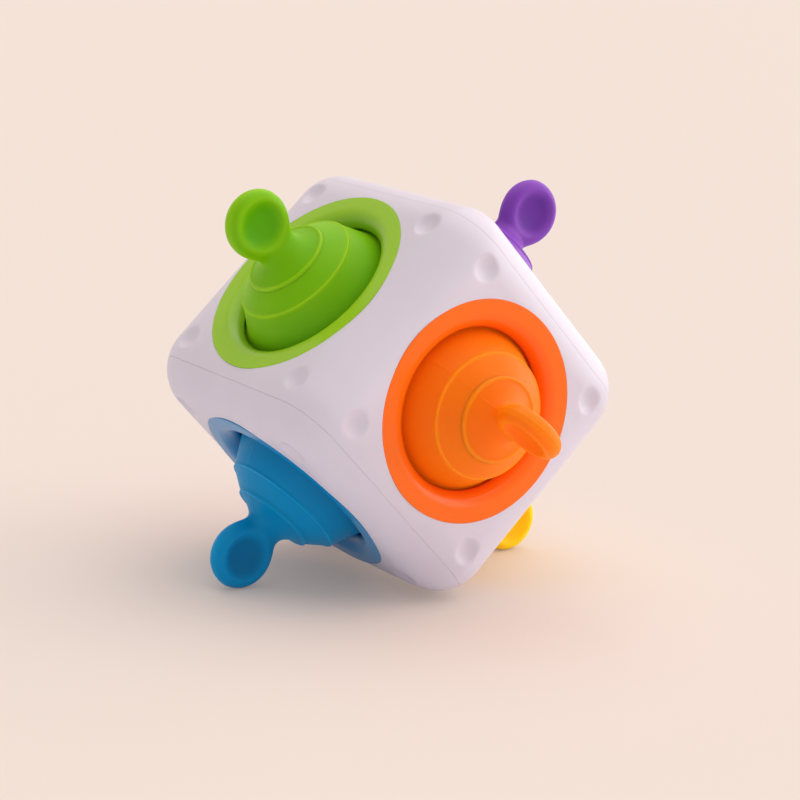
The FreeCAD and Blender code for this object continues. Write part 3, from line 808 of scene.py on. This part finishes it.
floor_turn = np.linspace(0, 2 * np.pi, FLOOR_POINTS, endpoint=False)
floor_mesh = bpy.data.meshes.new("floor")
floor_mesh.from_pydata((FLOOR_RADIUS * away_from_axis(floor_turn)).tolist(), [], [list(range(FLOOR_POINTS))])
floor = bpy.data.objects.new("floor", floor_mesh)
bpy.context.scene.collection.objects.link(floor)


def seen_directly(tree):
    """1 for rays from the camera, and for those that reach the backdrop by a mirror-like surface or glass."""
    path = tree.nodes.new("ShaderNodeLightPath")
    seen = path.outputs["Is Camera Ray"]
    for also in ("Is Glossy Ray", "Is Transmission Ray"):
        either = tree.nodes.new("ShaderNodeMath")
        either.operation = "MAXIMUM"
        tree.links.new(seen, either.inputs[0])
        tree.links.new(path.outputs[also], either.inputs[1])
        seen = either.outputs[0]
    return seen


def blended(tree, factor, first, second, output):
    """Two shaders mixed by a factor, sent to an output node's surface."""
    blend = tree.nodes.new("ShaderNodeMixShader")
    tree.links.new(factor, blend.inputs["Fac"])
    tree.links.new(first.outputs[0], blend.inputs[1])
    tree.links.new(second.outputs[0], blend.inputs[2])
    tree.links.new(blend.outputs[0], tree.nodes[output].inputs["Surface"])


paper, tree, matt = new_finish("paper")
matt.inputs["Roughness"].default_value = 0.9
matt.inputs["Specular IOR Level"].default_value = 0.1
tone = tree.nodes.new("ShaderNodeMix")
tone.data_type = "RGBA"
tone.inputs["A"].default_value = FLOOR_GREY
tone.inputs["B"].default_value = linear(*PAPER)
plain = tree.nodes.new("ShaderNodeEmission")
plain.inputs["Color"].default_value = linear(*BACKDROP)
share = tree.nodes.new("ShaderNodeMath")
share.operation = "MULTIPLY"
share.inputs[1].default_value = PLAIN_SHARE
direct = seen_directly(tree)
tree.links.new(direct, tone.inputs["Factor"])
tree.links.new(direct, share.inputs[0])
tree.links.new(tone.outputs["Result"], matt.inputs["Base Color"])
blended(tree, share.outputs[0], matt, plain, "Material Output")
floor.data.materials.append(paper)

world = bpy.data.worlds.new("studio")
bpy.context.scene.world = world
world.use_nodes = True
tree = world.node_tree
room = tree.nodes["Background"]
room.inputs["Color"].default_value = ROOM_LIGHT
room.inputs["Strength"].default_value = ROOM_STRENGTH
plain = tree.nodes.new("ShaderNodeBackground")
plain.inputs["Color"].default_value = linear(*BACKDROP)
blended(tree, seen_directly(tree), room, plain, "World Output")

bpy.context.scene.view_settings.view_transform = "Standard"


def soft_lamp(name, from_where, spread, power):
    """A lamp so far off that its light falls evenly on the floor, as wide in the sky as spread in degrees."""
    lamp = bpy.data.lights.new(name, "SUN")
    lamp.angle = math.radians(spread)
    lamp.energy = power
    holder = bpy.data.objects.new(name, lamp)
    holder.rotation_euler = (-Vector(from_where)).to_track_quat("-Z", "Y").to_euler()
    bpy.context.scene.collection.objects.link(holder)


soft_lamp("key from the right", (0.86, -0.48, 0.11), spread=50, power=1.25)
soft_lamp("edge light from behind on the right", (0.93, 0.2, 0.08), spread=45, power=0.7)
soft_lamp("overhead", (0.28, 0.0, 0.9), spread=85, power=1.9)


# ------------------------------------------------------------------------------------------------------------
# The camera: a long lens, a little above the cube and turned a little about its own line of sight. It looks
# at a point just beside the cube's centre.
RIGHT = Vector((0.81783, -0.57228, 0.06041))
DOWN = Vector((-0.07898, -0.21560, -0.97328))
AHEAD = Vector((0.57002, 0.79121, -0.22152))
BESIDE = 3.97 * MM
BELOW = 6.91 * MM
AWAY = 791.46 * MM

camera_data = bpy.data.cameras.new("camera")
camera_data.lens = 106.2
camera_data.sensor_width = 36
camera_data.clip_start = 0.05
camera = bpy.data.objects.new("camera", camera_data)
turned = Matrix((RIGHT, -DOWN, -AHEAD)).transposed().to_4x4()
camera.matrix_world = Matrix.Translation(CENTRE + BESIDE * RIGHT + BELOW * DOWN - AWAY * AHEAD) @ turned
bpy.context.scene.collection.objects.link(camera)
bpy.context.scene.camera = camera
